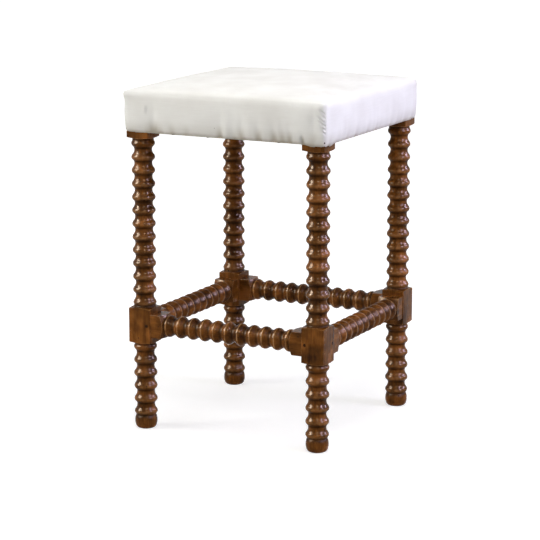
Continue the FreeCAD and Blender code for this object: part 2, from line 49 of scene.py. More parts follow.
corners = ("front_left", "front_right", "back_right", "back_left")
waveLength = math.pi / 10  # one wave of a wave texture at scale 1, in metres
print("frame loaded:", len(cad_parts), "nodes")


def hexColour(text):  # sRGB hex to the linear values that the shaders use
    parts = [int(text[place:place + 2], 16) / 255 for place in (1, 3, 5)]
    linear = [part / 12.92 if part <= 0.04045 else ((part + 0.055) / 1.055) ** 2.4 for part in parts]
    return (*linear, 1.0)


def addNode(tree, kind, inputs=None, stops=(), **settings):  # one node with its settings, values and links
    node = tree.nodes.new("ShaderNode" + kind)
    for name, value in settings.items():
        setattr(node, name, value)
    for name, value in (inputs or {}).items():
        if isinstance(value, bpy.types.NodeSocket):
            tree.links.new(value, node.inputs[name])
        else:
            node.inputs[name].default_value = value
    for index, (place, colour) in enumerate(stops):
        if index > 1:
            node.color_ramp.elements.new(place)
        node.color_ramp.elements[index].position = place
        node.color_ramp.elements[index].color = hexColour(colour)
    return node


def newMaterial(name):
    material = bpy.data.materials.new(name)
    material.use_nodes = True
    material.node_tree.nodes.clear()
    return material, material.node_tree


def closeMaterial(tree, shader):
    addNode(tree, "OutputMaterial", {"Surface": shader.outputs["BSDF"]})


def meshPiece(name, made, material=None):  # a bmesh becomes an object at the origin
    mesh = bpy.data.meshes.new(name)
    made.to_mesh(mesh)
    made.free()
    piece = bpy.data.objects.new(name, mesh)
    scene.collection.objects.link(piece)
    if material:  # with one it is a piece of the stool
        piece.data.materials.append(material)
        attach(piece, "root")
    return piece


def bakeModifiers(piece):  # keeps what the modifiers made as the piece's own mesh
    graph = bpy.context.evaluated_depsgraph_get()
    graph.update()
    mesh = bpy.data.meshes.new_from_object(piece.evaluated_get(graph))
    piece.modifiers.clear()
    before = piece.data
    piece.data = mesh
    bpy.data.meshes.remove(before)


def smoothByAngle(piece, degrees):
    piece.data.shade_smooth()
    piece.data.set_sharp_from_angle(angle=math.radians(degrees))


def roundEdges(made, edges, offset, segments):
    bmesh.ops.bevel(made, geom=edges, offset=offset * mm, affect="EDGES", segments=segments, profile=0.5,
                    material=-1)


def squareBlock(wide, deep, low, high, corner, segments):  # a block with rounded upright edges
    made = bmesh.new()
    bmesh.ops.create_cube(made, size=1.0)
    bmesh.ops.scale(made, verts=made.verts, vec=(wide * mm, deep * mm, (high - low) * mm))
    bmesh.ops.translate(made, verts=made.verts, vec=(0, 0, (low + high) / 2 * mm))
    upright = [edge for edge in made.edges if abs(edge.verts[0].co.z - edge.verts[1].co.z) > mm]
    roundEdges(made, upright, corner, segments)
    return made


def bell(value, width):
    return math.exp(-(value / width) ** 2)


# camera, worked out from the photograph: a long lens, a little above the seat
cameraSettings = {
    "lens": 145.8,
    "place": Vector((2043.6, -4060.5, 1279.3)) * mm,
    "aim": Vector((-6.74, -3.41, 319.85)) * mm,
}
camera = bpy.data.objects.new("camera", bpy.data.cameras.new("camera"))
scene.collection.objects.link(camera)
camera.data.lens = cameraSettings["lens"]
camera.data.sensor_width = 36.0
camera.location = cameraSettings["place"]
lookWay = cameraSettings["aim"] - cameraSettings["place"]
camera.rotation_euler = lookWay.to_track_quat("-Z", "Y").to_euler()
scene.camera = camera


# waxed oak: old brown wood under many coats of wax, so streaks along the grain, dark in the tucks that is
# partly dirt and partly painted shade, pale crests on the stretchers that are partly rubbing and partly a
# painted highlight, knocks and pin holes, and a warm soft gloss
oakSettings = {
    "streak": (1.3 * mm, 30 * mm),  # the pores are finer; drawn this wide so that they show
    "figure": (15 * mm, 130 * mm),
    "blotch": 36 * mm,
    "shares": (0.24, 0.24, 0.42),  # of streak, figure and blotch in the tone
    "tones": [(0.33, "#301705"), (0.45, "#613a13"), (0.57, "#8c5524")],
    "arris": 1.8 * mm,
    # size of the patches on the paler arrises and crests: rubbing, and on the crests a painted highlight too
    "rubAndHighlightPatch": 9 * mm,
    # breaks up the dark of the tucks, which is dirt and painted shade
    "dirtAndShadeNoise": 16 * mm,
    "knock": 15 * mm,
    "dent": 17 * mm,
    # colour of the knocks, and of the tucks, where it is partly painted shade
    "dirtAndShade": "#180a03",
    # paler colour of rubbed arrises and crests; on the crests partly a painted highlight
    "rubbedAndHighlit": "#bd8d5c",
    "wax": "#ffefdb",
    "ior": 1.15,  # thin worn wax mirrors less than a full coat
}


def waxedOak():
    use = oakSettings
    material, tree = newMaterial("waxed oak")
    timber = addNode(tree, "Attribute", attribute_name="timber").outputs["Vector"]
    shadeAndDirt = addNode(tree, "Attribute", attribute_name="shadeAndDirt").outputs["Fac"]
    wornAndHighlit = addNode(tree, "Attribute", attribute_name="wornAndHighlit").outputs["Fac"]

    def drawnOut(size):  # coordinates drawn out along the grain
        across, along = size
        scale = (1 / across, 1 / across, 1 / along)
        return addNode(tree, "Mapping", {"Vector": timber, "Scale": scale}).outputs[0]

    streak = addNode(tree, "TexNoise", {"Vector": drawnOut(use["streak"]), "Scale": 1.0, "Detail": 4.0,
                                        "Roughness": 0.65, "Distortion": 0.3})
    figure = addNode(tree, "TexNoise", {"Vector": drawnOut(use["figure"]), "Scale": 1.0, "Detail": 3.0,
                                        "Distortion": 0.8})
    blotch = addNode(tree, "TexNoise", {"Vector": timber, "Scale": 1 / use["blotch"], "Detail": 3.0})
    tone = 0.0
    for pattern, share in zip((streak, figure, blotch), use["shares"]):
        tone = addNode(tree, "Math", {0: pattern.outputs[0], 1: share, 2: tone},
                       operation="MULTIPLY_ADD").outputs[0]
    wood = addNode(tree, "ValToRGB", {"Fac": tone}, stops=use["tones"])

    # arrises are rubbed paler, unevenly; the crests are drawn paler too, partly rubbing and partly a painted
    # highlight
    rounded = addNode(tree, "Bevel", {"Radius": use["arris"]}, samples=6)
    flat = addNode(tree, "NewGeometry").outputs["Normal"]
    edge = addNode(tree, "VectorMath", {0: rounded.outputs[0], 1: flat}, operation="DOT_PRODUCT")
    edge = addNode(tree, "MapRange", {"Value": edge.outputs["Value"], "From Min": 0.99, "From Max": 0.86,
                                      "To Max": 0.75})
    rubAndHighlight = addNode(tree, "Math", {0: edge.outputs[0], 1: wornAndHighlit}, operation="MAXIMUM")
    patch = addNode(tree, "TexNoise", {"Vector": timber, "Scale": 1 / use["rubAndHighlightPatch"], "Detail": 3.0})
    patch = addNode(tree, "MapRange", {"Value": patch.outputs[0], "From Min": 0.36, "From Max": 0.6,
                                       "To Min": 0.25, "To Max": 0.95})
    rubAndHighlight = addNode(tree, "Math", {0: rubAndHighlight.outputs[0], 1: patch.outputs[0]}, operation="MULTIPLY")
    wood = addNode(tree, "Mix", {0: rubAndHighlight.outputs[0], 6: wood.outputs[0], 7: hexColour(use["rubbedAndHighlit"])},
                   data_type="RGBA")

    # dirt and old wax sit in the knocks; the tucks and the joins with the blocks are darkened with dirt and
    # painted shade
    dirtAndShadeNoise = addNode(tree, "TexNoise", {"Vector": timber, "Scale": 1 / use["dirtAndShadeNoise"], "Detail": 4.0})
    dirtAndShadeNoise = addNode(tree, "MapRange", {"Value": dirtAndShadeNoise.outputs[0], "From Min": 0.3, "From Max": 0.7,
                                       "To Min": 0.6, "To Max": 1.0})
    dirtAndShade = addNode(tree, "Math", {0: shadeAndDirt, 1: dirtAndShadeNoise.outputs[0]}, operation="MULTIPLY")
    knock = addNode(tree, "TexVoronoi", {"Vector": timber, "Scale": 1 / use["knock"], "Randomness": 1.0})
    chosen = addNode(tree, "SeparateColor", {"Color": knock.outputs["Color"]})
    chosen = addNode(tree, "Math", {0: chosen.outputs[0], 1: 0.72}, operation="GREATER_THAN")
    pit = addNode(tree, "MapRange", {"Value": knock.outputs["Distance"], "From Min": 0.17,
                                     "From Max": 0.06})
    pit = addNode(tree, "Math", {0: pit.outputs[0], 1: chosen.outputs[0]}, operation="MULTIPLY")
    dark = addNode(tree, "Math", {0: pit.outputs[0], 1: 0.7, 2: dirtAndShade.outputs[0]}, operation="MULTIPLY_ADD",
                   use_clamp=True).outputs[0]
    wood = addNode(tree, "Mix", {0: dark, 6: wood.outputs[2], 7: hexColour(use["dirtAndShade"])}, data_type="RGBA")

    # the dark of the knocks, the dirt and the painted shade is drawn dull
    gloss = addNode(tree, "MapRange", {"Value": blotch.outputs[0], "From Min": 0.3, "From Max": 0.7,
                                       "To Min": 0.2, "To Max": 0.3})
    gloss = addNode(tree, "Math", {0: dark, 1: 0.25, 2: gloss.outputs[0]}, operation="MULTIPLY_ADD")
    shine = addNode(tree, "MapRange", {"Value": dark, "To Min": 0.5, "To Max": 0.1})
    dents = addNode(tree, "TexNoise", {"Vector": timber, "Scale": 1 / use["dent"], "Detail": 3.0,
                                       "Roughness": 0.6})
    bump = addNode(tree, "Bump", {"Height": dents.outputs[0], "Distance": 0.8 * mm, "Strength": 0.5})
    bump = addNode(tree, "Bump", {"Height": pit.outputs[0], "Distance": -0.5 * mm, "Strength": 0.8,
                                  "Normal": bump.outputs[0]})
    bump = addNode(tree, "Bump", {"Height": streak.outputs[0], "Distance": 0.1 * mm, "Strength": 0.5,
                                  "Normal": bump.outputs[0]})
    shader = addNode(tree, "BsdfPrincipled", {
        "Base Color": wood.outputs[2], "Roughness": gloss.outputs[0], "Normal": bump.outputs[0],
        "IOR": use["ior"], "Specular IOR Level": shine.outputs[0], "Specular Tint": hexColour(use["wax"])})
    closeMaterial(tree, shader)
    return material


oak = waxedOak()

# what every turned piece shares
latheSettings = {
    "spare": 10.0,    # the blank is left long, and the outline trims its ends
    "around": 72,
    "curveSteps": 5,
    "arrisSteps": 3,
    "smooth": 32,     # degrees; sharper edges stay crisp
    # how dark the tucks are drawn, with dirt and painted shade
    "dirtAndShade": 0.85,
    "margin": 0.1,    # a point this near to a block is on it
}


def sCurve(start, end, share, steps):  # two arcs between a crest and a neck, as (radius, height) points
    if abs(start[0] - end[0]) < 0.01:
        return [start, end]
    if start[0] < end[0]:
        return sCurve(end, start, share, steps)[::-1]
    drop = start[0] - end[0]
    run = end[1] - start[1]
    reach = (run * run + drop * drop) / (2 * drop)
    turn = math.asin(min(1.0, abs(run) / reach))
    way = math.copysign(1.0, run)
    points = []
    for step in range(steps + 1):  # the round of the crest
        angle = turn * step / steps
        points.append((start[0] - reach * share * (1 - math.cos(angle)),
                       start[1] + way * reach * share * math.sin(angle)))
    for step in reversed(range(steps)):  # the cove of the neck
        angle = turn * step / steps
        points.append((end[0] + reach * (1 - share) * (1 - math.cos(angle)),
                       end[1] - way * reach * (1 - share) * math.sin(angle)))
    return points


def throughKnots(knots, arcs):  # an outline through its crests and necks, bottom first
    outline = [knots[0]]
    above, below = arcs
    for lower, upper in zip(knots, knots[1:]):
        share = above if lower[0] > upper[0] else below
        outline += sCurve(lower, upper, share, latheSettings["curveSteps"])[1:]
    return outline


def swayed(value, dice, sway):
    return value + dice.uniform(-1, 1) * sway


def latheWork(outline, wide, deep, low, high, arris):  # a square blank cut back to a turned outline
    use = latheSettings
    made = bmesh.new()
    points = [made.verts.new((radius * mm, 0, height * mm)) for radius, height in outline]
    edges = [made.edges.new(pair) for pair in zip(points, points[1:])]
    bmesh.ops.spin(made, geom=points + edges, cent=(0, 0, 0), axis=(0, 0, 1), angle=2 * math.pi,
                   steps=use["around"], use_merge=True)
    bmesh.ops.remove_doubles(made, verts=made.verts, dist=1e-6)
    bmesh.ops.recalc_face_normals(made, faces=made.faces)
    turning = meshPiece("turning", made)
    blank = squareBlock(wide, deep, low - use["spare"], high + use["spare"], arris, use["arrisSteps"])
    square = meshPiece("square", blank)
    cut = square.modifiers.new("turn", "BOOLEAN")
    cut.operation = "INTERSECT"
    cut.solver = "EXACT"
    cut.object = turning
    bakeModifiers(square)
    bpy.data.objects.remove(turning)
    return square


def markTimber(mesh, place, depth, wearAndHighlight):  # the wood's own directions, where dirt and painted shade darken it, and where rubbing and a painted highlight pale it
    for name, kind in (("timber", "FLOAT_VECTOR"), ("shadeAndDirt", "FLOAT"), ("wornAndHighlit", "FLOAT")):
        mesh.attributes.new(name, kind, "POINT")
    timber = mesh.attributes["timber"].data  # fetched last, because adding one moves the others
    shadeAndDirt = mesh.attributes["shadeAndDirt"].data
    wornAndHighlit = mesh.attributes["wornAndHighlit"].data
    for index, vertex in enumerate(mesh.vertices):
        timber[index].vector = place(vertex.co)
        shadeAndDirt[index].value = depth(vertex.co)
        wornAndHighlit[index].value = wearAndHighlight(vertex.co)


def finishTimber(square, name, node, lay, shift, marks):
    # dirt and painted shade darken the tucks, crests are paled by rubbing and a painted highlight, blocks
    # are left alone; then the piece goes to its place
    rubAndHighlight, rubAndHighlightWidth = marks["rubbedAndHighlit"]
    margin = latheSettings["margin"]

    def nearest(spot, heights):  # millimetres to the nearest of these heights, infinite on a block
        height = spot.z / mm
        if any(low - margin < height < high + margin for low, high in marks["blocks"]):
            return math.inf
        return min(abs(height - other) for other in heights)

    mesh = square.data
    markTimber(mesh, lambda spot: spot + Vector((0, 0, shift)),
               lambda spot: latheSettings["dirtAndShade"] * bell(nearest(spot, marks["tucks"]), marks["dirtAndShadeWidth"]),
               lambda spot: rubAndHighlight * bell(nearest(spot, marks["crests"]), rubAndHighlightWidth))
    mesh.transform(lay)
    square.name = name
    mesh.name = name
    mesh.materials.clear()
    mesh.materials.append(oak)
    smoothByAngle(square, latheSettings["smooth"])
    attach(square, "root")
    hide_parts(node)
    return square


# legs: each bead flares out below a straight neck and tucks in quickly under its crest
legSettings = {
    "stock": 50.0, "height": 688.0, "arris": 1.1,
    "pitch": 27.9, "crest": 24.4, "neck": 18.6, "flare": 15.6, "straight": 0.8,
    "arcs": (0.38, 0.45),  # the crest's part of each curve, above it and below it
    "foot": [(0, 0), (15.5, 0), (19.0, 1.6), (21.2, 4.2), (22.6, 8.0), (23.5, 12.5), (23.7, 17.0),
             (23.2, 22.0), (22.0, 26.2), (20.5, 28.4), (21.6, 30.4)],
    "lowerCrest": 35.6, "lowerBeads": 5, "lowerCollar": (24.3, 177.0), "lowerCove": 2.2,
    "midBlock": (186.0, 262.0),
    "ring": [(22.9, 0.7), (23.3, 1.8), (22.9, 2.9), (22.3, 3.5)],  # radius, height over the middle block
    "upperCrest": 270.0, "upperBeads": 12, "upperCollar": (24.6, 606.0), "upperCove": 2.4,
    "upperBlock": 617.5,
    "root": 22.0, "nick": (27.0, 0.5), "clear": 42.0, "fall": 3.4,  # how the blocks meet the turning
    "hidden": (26.0, 632.5),  # radius and start of the top inside the cover
    # dark lines under the crests and at the blocks: partly dirt, partly painted shade; pale crests: partly
    # rubbing, partly a painted highlight
    "tuck": 7.2, "dirtAndShadeLines": [28.4, 185.0, 262.5, 266.0, 616.0], "dirtAndShadeWidth": 3.6,
    "rubbedAndHighlit": (0.3, 3.0),  # how much, and how far from a crest
    "sway": 0.22,  # no two beads come off a hand lathe alike
    "seed": 11, "grainShift": 0.9,
}


def beadKnots(first, count, dice):
    use = legSettings
    knots = []
    for bead in range(count):
        height = first + use["pitch"] * bead
        knots.append((swayed(use["crest"], dice, use["sway"]), swayed(height, dice, use["sway"])))
        neck = swayed(use["neck"], dice, use["sway"])
        knots.append((neck, height + use["flare"]))
        knots.append((neck, height + use["flare"] + use["straight"]))
    return knots


def legOutline(dice):
    use = legSettings
    low, high = use["midBlock"]
    top = use["upperBlock"]
    root, clear, fall = use["root"], use["clear"], use["fall"]
    nick, nickRise = use["nick"]
    hidden, hiddenFrom = use["hidden"]
    lower = beadKnots(use["lowerCrest"], use["lowerBeads"], dice)
    lower += [use["lowerCollar"], (root, low - use["lowerCove"])]
    middle = [(root, low), (nick, low + nickRise), (clear, low + fall),
              (clear, high - fall), (nick, high - nickRise), (root, high)]
    middle += [(radius, high + rise) for radius, rise in use["ring"]]
    upper = beadKnots(use["upperCrest"], use["upperBeads"], dice)
    upper += [use["upperCollar"], (root, top - use["upperCove"])]
    head = [(root, top), (nick, top + nickRise), (clear, top + fall), (clear, hiddenFrom),
            (hidden, hiddenFrom), (hidden, use["height"]), (0, use["height"])]
    return use["foot"] + throughKnots(lower, use["arcs"]) + middle + throughKnots(upper, use["arcs"]) + head


def makeLeg(corner, index):
    use = legSettings
    node = "leg_" + corner
    low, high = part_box(node)
    lay = Matrix.Translation(((low[0] + high[0]) / 2, (low[1] + high[1]) / 2, 0))
    outline = legOutline(random.Random(use["seed"] + index))
    square = latheWork(outline, use["stock"], use["stock"], 0.0, use["height"], use["arris"])
    crests = []
    for first, count in ((use["lowerCrest"], use["lowerBeads"]), (use["upperCrest"], use["upperBeads"])):
        crests += [first + use["pitch"] * bead for bead in range(count)]
    marks = {
        "crests": crests, "rubbedAndHighlit": use["rubbedAndHighlit"], "dirtAndShadeWidth": use["dirtAndShadeWidth"],
        "tucks": use["dirtAndShadeLines"] + [crest + use["pitch"] - use["tuck"] for crest in crests],
        "blocks": (use["midBlock"], (use["upperBlock"], use["height"])),
    }
    return finishTimber(square, "turnedLeg_" + corner, node, lay, use["grainShift"] * index, marks)


legs = [makeLeg(corner, index) for index, corner in enumerate(corners)]
print("legs turned:", [len(leg.data.polygons) for leg in legs])


# stretchers: even round beads between square ends with sloped shoulders
stretcherSettings = {
    "deep": 47.0, "tall": 49.0, "arris": 1.2, "half": 175.0, "square": 146.0,
    "pitch": 27.9, "beads": 11, "crest": 23.2, "neck": 17.7, "arcs": (0.5, 0.5),
    "root": 21.4, "clear": 42.0, "fall": 12.0,
    "shoulder": [(33.0, 6.0), (23.2, 0.8)],  # radius, distance past the beads
    # dark in the necks and at the square ends: partly dirt, partly painted shade; pale crest lines: partly
    # rubbing, partly a painted highlight
    "dirtAndShadeWidth": 3.4, "rubbedAndHighlit": (1.0, 0.9), "sway": 0.2,
    "seed": 31, "grainStart": 5.0, "grainShift": 0.7,
}


def stretcherOutline(dice):
    use = stretcherSettings
    middle = (use["beads"] - 1) / 2
    knots = [(use["root"], -use["square"])]
    for bead in range(use["beads"]):
        height = (bead - middle) * use["pitch"]
        knots.append((swayed(use["crest"], dice, use["sway"]), swayed(height, dice, use["sway"])))
        if bead < use["beads"] - 1:
            knots.append((swayed(use["neck"], dice, use["sway"]), height + use["pitch"] / 2))
    knots.append((use["root"], use["square"]))
    end = [(0, use["half"]), (use["clear"], use["half"]), (use["clear"], use["square"] + use["fall"])]
    end += [(radius, use["square"] + past) for radius, past in use["shoulder"]]
    return [(radius, -height) for radius, height in end] + throughKnots(knots, use["arcs"]) + end[::-1]


def makeStretcher(side, index):
    use = stretcherSettings
    node = "stretcher_" + side
    low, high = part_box(node)
    place = Vector([(a + b) / 2 for a, b in zip(low, high)])
    outline = stretcherOutline(random.Random(use["seed"] + index))
    square = latheWork(outline, use["tall"], use["deep"], -use["half"], use["half"], use["arris"])
    turn = Matrix.Rotation(math.pi / 2 * (index % 2), 4, "Z") @ Matrix.Rotation(math.pi / 2, 4, "Y")
    crests = [(bead - use["beads"] / 2 + 0.5) * use["pitch"] for bead in range(use["beads"])]
    marks = {
        "crests": crests, "rubbedAndHighlit": use["rubbedAndHighlit"], "dirtAndShadeWidth": use["dirtAndShadeWidth"],
        "tucks": [crest + use["pitch"] / 2 for crest in crests[:-1]] + [-use["square"], use["square"]],
        "blocks": ((-use["half"], -use["square"]), (use["square"], use["half"])),
    }
    lay = Matrix.Translation(place) @ turn
    shift = use["grainStart"] + use["grainShift"] * index
    return finishTimber(square, "turnedStretcher_" + side, node, lay, shift, marks)


stretchers = [makeStretcher(side, index) for index, side in enumerate(sides)]
print("stretchers turned:", [len(stretcher.data.polygons) for stretcher in stretchers])


# pegs: end grain, a hair proud of the blocks
pegSettings = {"radius": 3.5, "length": 30.0, "proud": 0.35, "inside": 8.0, "around": 24,
               "edge": 0.5, "edgeSteps": 2, "smooth": 40, "endGrain": 3}


def makePegs():
    use = pegSettings
    low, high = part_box("leg_front_left")
    stretcherLow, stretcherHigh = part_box("stretcher_front")
    face = low[1] - use["proud"] * mm
    reach = high[0] - use["inside"] * mm
    height = (stretcherLow[2] + stretcherHigh[2]) / 2
    made = bmesh.new()
    bmesh.ops.create_cone(made, cap_ends=True, segments=use["around"], radius1=use["radius"] * mm,
                          radius2=use["radius"] * mm, depth=use["length"] * mm)
    rim = [edge for edge in made.edges if min(vert.co.z for vert in edge.verts) > 0]
    roundEdges(made, rim, use["edge"], use["edgeSteps"])
    lay = Matrix.Translation((reach, face + use["length"] / 2 * mm, height))
    bmesh.ops.transform(made, verts=made.verts, matrix=lay @ Matrix.Rotation(math.pi / 2, 4, "X"))
    bmesh.ops.mirror(made, geom=made.verts[:] + made.edges[:] + made.faces[:], axis="X", merge_dist=1e-6)
    oneSide = made.verts[:] + made.edges[:] + made.faces[:]
    for quarter in (1, 2, 3):
        copied = bmesh.ops.duplicate(made, geom=oneSide)["geom"]
        spots = [part for part in copied if isinstance(part, bmesh.types.BMVert)]
        turn = Matrix.Rotation(math.pi / 2 * quarter, 3, "Z")
        bmesh.ops.rotate(made, verts=spots, cent=(0, 0, 0), matrix=turn)
    bmesh.ops.recalc_face_normals(made, faces=made.faces)
    pegs = meshPiece("drivenPegs", made, oak)
    markTimber(pegs.data, lambda spot: spot.zxy * use["endGrain"], lambda spot: 1.0, lambda spot: 0.0)
    smoothByAngle(pegs, use["smooth"])
    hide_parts("stretcher_pegs")


makePegs()
print("pegs driven")


# calico: plain unbleached cotton, matt and slightly uneven, with slubs, a few seed flecks and a lower edge
# darkened partly by soil and partly by painted shade
calicoSettings = {
    "thread": 1.6 * mm,  # real threads lie 0.4 mm apart; drawn coarser so that the weave shows
    "slub": (1.6 * mm, 40 * mm),
    "cloud": 90 * mm,
    "fleck": 46 * mm,
    "soiledAndShaded": (664 * mm, 629 * mm),  # the heights where the soil and painted shade start and where they are full
    "tones": [(0.36, "#e5e5e0"), (0.62, "#eff0ec")],
    "seed": "#6d6152",
    # colour of the lower edge's soil and painted shade
    "soilAndShade": "#a69e8d",
}


def calico():
    use = calicoSettings
    material, tree = newMaterial("calico")
    spot = addNode(tree, "TexCoord").outputs["Object"]
    weave = 0.0
    for axis in ("X", "Y", "Z"):  # a face shows the two sets of threads that lie along it
        thread = addNode(tree, "TexWave", {"Vector": spot, "Scale": waveLength / use["thread"],
                                           "Distortion": 0.8, "Detail": 2.0, "Detail Scale": 1.5},
                         bands_direction=axis)
        weave = addNode(tree, "Math", {0: thread.outputs["Fac"], 1: weave}, operation="ADD").outputs[0]
    across, along = use["slub"]
    slubPlace = addNode(tree, "Mapping", {"Vector": spot, "Scale": (1 / along, 1 / along, 1 / across)})
    slub = addNode(tree, "TexNoise", {"Vector": slubPlace.outputs[0], "Scale": 1.0, "Detail": 3.0})
    cloud = addNode(tree, "TexNoise", {"Vector": spot, "Scale": 1 / use["cloud"], "Detail": 4.0})
    tone = addNode(tree, "Math", {0: slub.outputs[0], 1: 0.25}, operation="MULTIPLY")
    tone = addNode(tree, "Math", {0: cloud.outputs[0], 1: 0.75, 2: tone.outputs[0]},
                   operation="MULTIPLY_ADD")
    cotton = addNode(tree, "ValToRGB", {"Fac": tone.outputs[0]}, stops=use["tones"])
    seeds = addNode(tree, "TexVoronoi", {"Vector": spot, "Scale": 1 / use["fleck"]})
    seeds = addNode(tree, "MapRange", {"Value": seeds.outputs["Distance"], "From Min": 0.03,
                                       "From Max": 0.012, "To Max": 0.55})
    cotton = addNode(tree, "Mix", {0: seeds.outputs[0], 6: cotton.outputs[0], 7: hexColour(use["seed"])},
                     data_type="RGBA")

    # the lower edge is darkened, most in its folds: partly soil, partly painted shade
    height = addNode(tree, "SeparateXYZ", {"Vector": spot}).outputs["Z"]
    start, full = use["soiledAndShaded"]
    low = addNode(tree, "MapRange", {"Value": height, "From Min": start, "From Max": full},
                  interpolation_type="SMOOTHSTEP")
    shadeAndDirt = addNode(tree, "Attribute", attribute_name="shadeAndDirt").outputs["Fac"]
    soilAndShade = addNode(tree, "Math", {0: cloud.outputs[0], 1: 0.6, 2: shadeAndDirt}, operation="MULTIPLY_ADD",
                   use_clamp=True)
    soilAndShade = addNode(tree, "Math", {0: low.outputs[0], 1: soilAndShade.outputs[0]}, operation="MULTIPLY")
    cotton = addNode(tree, "Mix", {0: soilAndShade.outputs[0], 6: cotton.outputs[2], 7: hexColour(use["soilAndShade"])},
                     data_type="RGBA")
    bump = addNode(tree, "Bump", {"Height": weave, "Distance": 0.08 * mm, "Strength": 0.3})
    bump = addNode(tree, "Bump", {"Height": slub.outputs[0], "Distance": 0.05 * mm, "Strength": 0.3,
                                  "Normal": bump.outputs[0]})
    shader = addNode(tree, "BsdfPrincipled", {
        "Base Color": cotton.outputs[2], "Roughness": 0.9, "Normal": bump.outputs[0], "IOR": 1.45,
        "Specular IOR Level": 0.1, "Sheen Weight": 0.08, "Sheen Roughness": 0.5})
    closeMaterial(tree, shader)
    return material


cotton = calico()

# seat cover: drawn tight over the stuffing, sewn up at the corners, turned under the rails
coverSettings = {
    "half": 228.6, "bottom": 630.6, "edge": 719.0, "crown": 14.5, "fullness": 0.75,
    "rim": 12.0, "roll": 3.0, "edgeSteps": 4, "corner": 9.0, "cornerSteps": 5,
    "voxel": 5.0, "pressure": 4.0, "stretch": 40.0, "bend": 2.0, "frames": 20,
    "held": 7.0,    # the lowest part is tacked and doesn't swell
    "most": 3.0,    # the furthest that swelling moves a point
    "hem": 20.0, "lip": 4.0, "legGap": 2.0,
    "under": -0.7,  # the underside's normals point down by more than this
    "side": 0.8,    # and those of the sides up or down by less than this
    "seamZone": (34.0, 200.0, 640.0),  # from the corner inwards, from the middle outwards, and up from
}


def coverShape():
    use = coverSettings
    wide = 2 * use["half"]
    made = squareBlock(wide, wide, use["bottom"], use["edge"], use["corner"], use["cornerSteps"])
    middle = (use["edge"] + use["bottom"]) / 2 * mm
    for name, way in (("rim", 1), ("roll", -1)):  # the edges round the top, then those round the bottom
        level = [edge for edge in made.edges if all((vert.co.z - middle) * way > 0 for vert in edge.verts)]
        roundEdges(made, level, use[name], use["edgeSteps"])
    piece = meshPiece("seatCover", made, cotton)
    remesh = piece.modifiers.new("even", "REMESH")
    remesh.mode = "VOXEL"
    remesh.voxel_size = use["voxel"] * mm
    bakeModifiers(piece)
    for vertex in piece.data.vertices:  # the stuffing crowns towards the middle
        across = vertex.co / (use["half"] * mm)
        lift = max(0.0, 1 - across.x ** 2) * max(0.0, 1 - across.y ** 2)
        upper = max(0.0, (vertex.co.z / mm - use["edge"] + use["rim"]) / use["rim"])
        vertex.co.z += use["crown"] * mm * min(1.0, upper) * lift ** use["fullness"]
    return piece


def swellCover(piece):  # the stuffing presses the cloth out; all moves shrink together to the most allowed
    use = coverSettings
    start = [vertex.co.copy() for vertex in piece.data.vertices]
    heldUpTo = (use["bottom"] + use["held"]) * mm
    held = piece.vertex_groups.new(name="tacked")
    held.add([index for index, spot in enumerate(start) if spot.z < heldUpTo], 1.0, "REPLACE")
    cloth = piece.modifiers.new("cloth", "CLOTH").settings
    cloth.vertex_group_mass = "tacked"
    cloth.use_pressure = True
    cloth.uniform_pressure_force = use["pressure"]
    cloth.tension_stiffness = use["stretch"]
    cloth.compression_stiffness = use["stretch"]
    cloth.bending_stiffness = use["bend"]
    cloth.effector_weights.gravity = 0
    for now in range(1, use["frames"] + 1):
        scene.frame_set(now)
    bakeModifiers(piece)
    scene.frame_set(1)
    moves = [vertex.co - spot for vertex, spot in zip(piece.data.vertices, start)]
    largest = max(move.length for move in moves)
    share = min(1.0, use["most"] * mm / largest)
    for vertex, spot, move in zip(piece.data.vertices, start, moves):
        vertex.co = spot + move * share
    print("cloth moved, in mm:", round(largest / mm, 1))
    piece.vertex_groups.clear()


def openUnderside(piece):  # leaves the turned-in hem and lets the leg tops through
    use = coverSettings
    made = bmesh.new()
    made.from_mesh(piece.data)
    inner = (use["half"] - use["hem"]) * mm
    outer = (use["half"] - use["lip"]) * mm
    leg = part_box("leg_front_right")[0][0] - use["legGap"] * mm
    drop = []
    for face in made.faces:
        middle = face.calc_center_median()
        across, deep = abs(middle.x), abs(middle.y)
        underLeg = min(across, deep) > leg and max(across, deep) < outer
        if face.normal.z < use["under"] and (max(across, deep) < inner or underLeg):
            drop.append(face)
    bmesh.ops.delete(made, geom=drop, context="FACES")
    made.to_mesh(piece.data)
    made.free()


def refineCorners(piece):  # more points beside the seams, where the gathers are small
    use = coverSettings
    inwards, outwards, up = use["seamZone"]
    edgeFrom = (use["half"] - inwards) * mm
    made = bmesh.new()
    made.from_mesh(piece.data)
    near = [edge for edge in made.edges if all(
        abs(vert.co.x) > edgeFrom and abs(vert.co.y) > outwards * mm and vert.co.z > up * mm
        and abs(vert.normal.z) < use["side"] for vert in edge.verts)]
    bmesh.ops.subdivide_edges(made, edges=near, cuts=1, use_grid_fill=True, smooth=0.0)
    made.to_mesh(piece.data)
    made.free()


